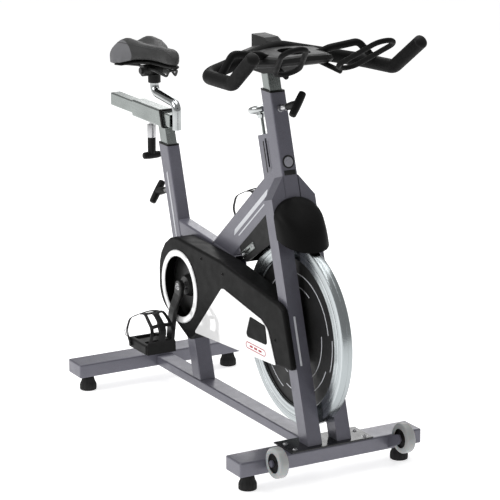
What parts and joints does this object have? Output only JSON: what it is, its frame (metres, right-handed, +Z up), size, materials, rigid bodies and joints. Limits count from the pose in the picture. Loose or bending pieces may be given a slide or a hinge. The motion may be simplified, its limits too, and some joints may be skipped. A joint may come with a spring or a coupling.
{
  "type": "exercise bike",
  "caption": "Indoor cycling bike with a heavy exposed flywheel, guarded belt drive, adjustable saddle and handlebar and a push-down brake knob.",
  "frame": {"origin": "on the floor, under the centre of the bike's overall box", "axes": "+X towards the front of the bike (flywheel and handlebar), +Y to the rider's left, +Z up"},
  "size_m": [1.2155, 0.508, 1.066],
  "materials": {
    "belt_rubber": "matt",
    "black_paint": "satin",
    "black_plastic": "fine grain",
    "chrome": "polished",
    "felt": "dense felt",
    "flywheel_steel": "machined rim, black web",
    "frame_paint": "satin metallic",
    "grip_rubber": "soft matt coating",
    "rubber": "matt",
    "steel": "satin",
    "vinyl": "synthetic leather",
    "wheel_rubber": "matt",
    "white_plastic": "gloss"
  },
  "bodies": {
    "frame": {"rear_stabilizer": "frame_paint", "front_stabilizer": "frame_paint", "bottom_beam": "frame_paint", "seat_tube": "frame_paint", "lower_post": "frame_paint", "center_beam": "frame_paint", "down_tube": "frame_paint", "head_tube": "frame_paint", "right_fork_leg": "frame_paint", "left_fork_leg": "frame_paint", "front_base_plate": "black_paint", "bottom_bracket_shell": "frame_paint", "flywheel_axle": "steel", "drive_guard_outer": "black_plastic", "drive_guard_inner": "black_plastic", "guard_panel": "white_plastic", "guard_ring": "white_plastic", "drive_belt": "belt_rubber", "brake_shield": "black_plastic", "brake_housing": "black_plastic", "seat_tube_bush": "black_plastic", "head_tube_bush": "black_plastic"},
    "flywheel_assembly": {"flywheel": "flywheel_steel", "flywheel_hub": "steel", "driven_pulley": "steel"},
    "crankset": {"crank_spindle": "steel", "drive_pulley": "black_paint", "right_crank_arm": "black_paint", "left_crank_arm": "black_paint", "right_pedal_spindle": "steel", "left_pedal_spindle": "steel"},
    "right_pedal_body": {"right_pedal": "black_plastic", "right_toe_cage": "black_plastic"},
    "left_pedal_body": {"left_pedal": "black_plastic", "left_toe_cage": "black_plastic"},
    "brake_rod": {"resistance_rod": "steel"},
    "brake_knob": {"resistance_knob": "chrome"},
    "brake_carrier": {"brake_holder": "steel"},
    "brake_shoe": {"brake_pad": "felt"},
    "seat_column": {"seat_post": "steel", "slider_sleeve": "steel"},
    "seat_carriage": {"seat_slider": "steel", "saddle_post": "chrome", "saddle_clamp": "black_plastic"},
    "saddle": {"saddle_cheeks": "black_paint", "saddle_rails": "black_paint", "saddle_base": "black_plastic", "saddle_cushion": "vinyl"},
    "slider_lock_screw": {"slider_lock": "black_plastic"},
    "seat_pin": {"seat_height_pin": "black_plastic"},
    "bar_column": {"handlebar_post": "steel", "handlebar": "grip_rubber", "bottle_tray": "black_plastic"},
    "bar_pin": {"handlebar_pin": "black_plastic"},
    "right_wheel": {"right_transport_wheel": "wheel_rubber"},
    "left_wheel": {"left_transport_wheel": "wheel_rubber"},
    "rear_right_leveller": {"rear_right_foot": "rubber"},
    "rear_left_leveller": {"rear_left_foot": "rubber"},
    "front_right_leveller": {"front_right_foot": "rubber"},
    "front_left_leveller": {"front_left_foot": "rubber"}
  },
  "joints": [
    {"name": "flywheel_spin", "type": "hinge", "parent": "frame", "child": "flywheel_assembly", "pos_m": [0.3685, 0, 0.3225], "axis": [0, 1, 0], "continuous": true},
    {"name": "crank_turn", "type": "hinge", "parent": "frame", "child": "crankset", "pos_m": [-0.1045, 0, 0.3314], "axis": [0, 1, 0], "continuous": true},
    {"name": "right_pedal_spin", "type": "hinge", "parent": "crankset", "child": "right_pedal_body", "pos_m": [-0.13408, -0.1415, 0.17925], "axis": [0, 1, 0], "continuous": true},
    {"name": "left_pedal_spin", "type": "hinge", "parent": "crankset", "child": "left_pedal_body", "pos_m": [-0.07492, 0.1415, 0.48355], "axis": [0, 1, 0], "continuous": true},
    {"name": "brake_push", "type": "slide", "parent": "frame", "child": "brake_rod", "axis": [0.2957, 0, -0.9553], "range_m": [0, 0.002], "stiffness_N_per_m": 2000},
    {"name": "resistance_turn", "type": "hinge", "parent": "brake_rod", "child": "brake_knob", "pos_m": [0.18275, 0, 0.83909], "axis": [0.2957, 0, -0.9553], "range_deg": [0, 720]},
    {"name": "brake_carrier_travel", "type": "slide", "parent": "frame", "child": "brake_carrier", "axis": [0.2957, 0, -0.9553], "range_m": [0, 0.0022]},
    {"name": "brake_shoe_travel", "type": "slide", "parent": "brake_carrier", "child": "brake_shoe", "axis": [0.2957, 0, -0.9553], "range_m": [0, 0.002]},
    {"name": "seat_height", "type": "slide", "parent": "frame", "child": "seat_column", "axis": [-0.2957, 0, 0.9553], "range_m": [-0.03, 0.22]},
    {"name": "saddle_reach", "type": "slide", "parent": "seat_column", "child": "seat_carriage", "axis": [1, 0, 0], "range_m": [-0.012, 0.11]},
    {"name": "saddle_tilt", "type": "hinge", "parent": "seat_carriage", "child": "saddle", "pos_m": [-0.38, 0, 0.846], "axis": [0, 1, 0], "range_deg": [-8, 8]},
    {"name": "slider_lock_turn", "type": "hinge", "parent": "seat_column", "child": "slider_lock_screw", "pos_m": [-0.399, 0, 0.695], "axis": [0, 0, 1], "range_deg": [0, 180]},
    {"name": "seat_pin_pull", "type": "slide", "parent": "frame", "child": "seat_pin", "axis": [-0.9553, 0, -0.2957], "range_m": [0, 0.012], "stiffness_N_per_m": 800},
    {"name": "handlebar_height", "type": "slide", "parent": "frame", "child": "bar_column", "axis": [-0.2957, 0, 0.9553], "range_m": [-0.02, 0.18]},
    {"name": "handlebar_pin_pull", "type": "slide", "parent": "frame", "child": "bar_pin", "axis": [0.9553, 0, 0.2957], "range_m": [0, 0.012], "stiffness_N_per_m": 800},
    {"name": "right_transport_wheel_spin", "type": "hinge", "parent": "frame", "child": "right_wheel", "pos_m": [0.5705, -0.177, 0.083], "axis": [0, 1, 0], "continuous": true},
    {"name": "left_transport_wheel_spin", "type": "hinge", "parent": "frame", "child": "left_wheel", "pos_m": [0.5705, 0.177, 0.083], "axis": [0, 1, 0], "continuous": true},
    {"name": "rear_right_foot_level", "type": "slide", "parent": "frame", "child": "rear_right_leveller", "axis": [0, 0, -1], "range_m": [0, 0.012]},
    {"name": "rear_left_foot_level", "type": "slide", "parent": "frame", "child": "rear_left_leveller", "axis": [0, 0, -1], "range_m": [0, 0.012]},
    {"name": "front_right_foot_level", "type": "slide", "parent": "frame", "child": "front_right_leveller", "axis": [0, 0, -1], "range_m": [0, 0.012]},
    {"name": "front_left_foot_level", "type": "slide", "parent": "frame", "child": "front_left_leveller", "axis": [0, 0, -1], "range_m": [0, 0.012]}
  ],
  "couplings": [
    {"joint": "crank_turn", "follows": "flywheel_spin", "ratio": 0.30769},
    {"joint": "brake_carrier_travel", "follows": "resistance_turn", "m_per_rad": 0.00017507},
    {"joint": "brake_shoe_travel", "follows": "brake_push", "ratio": 1}
  ]
}
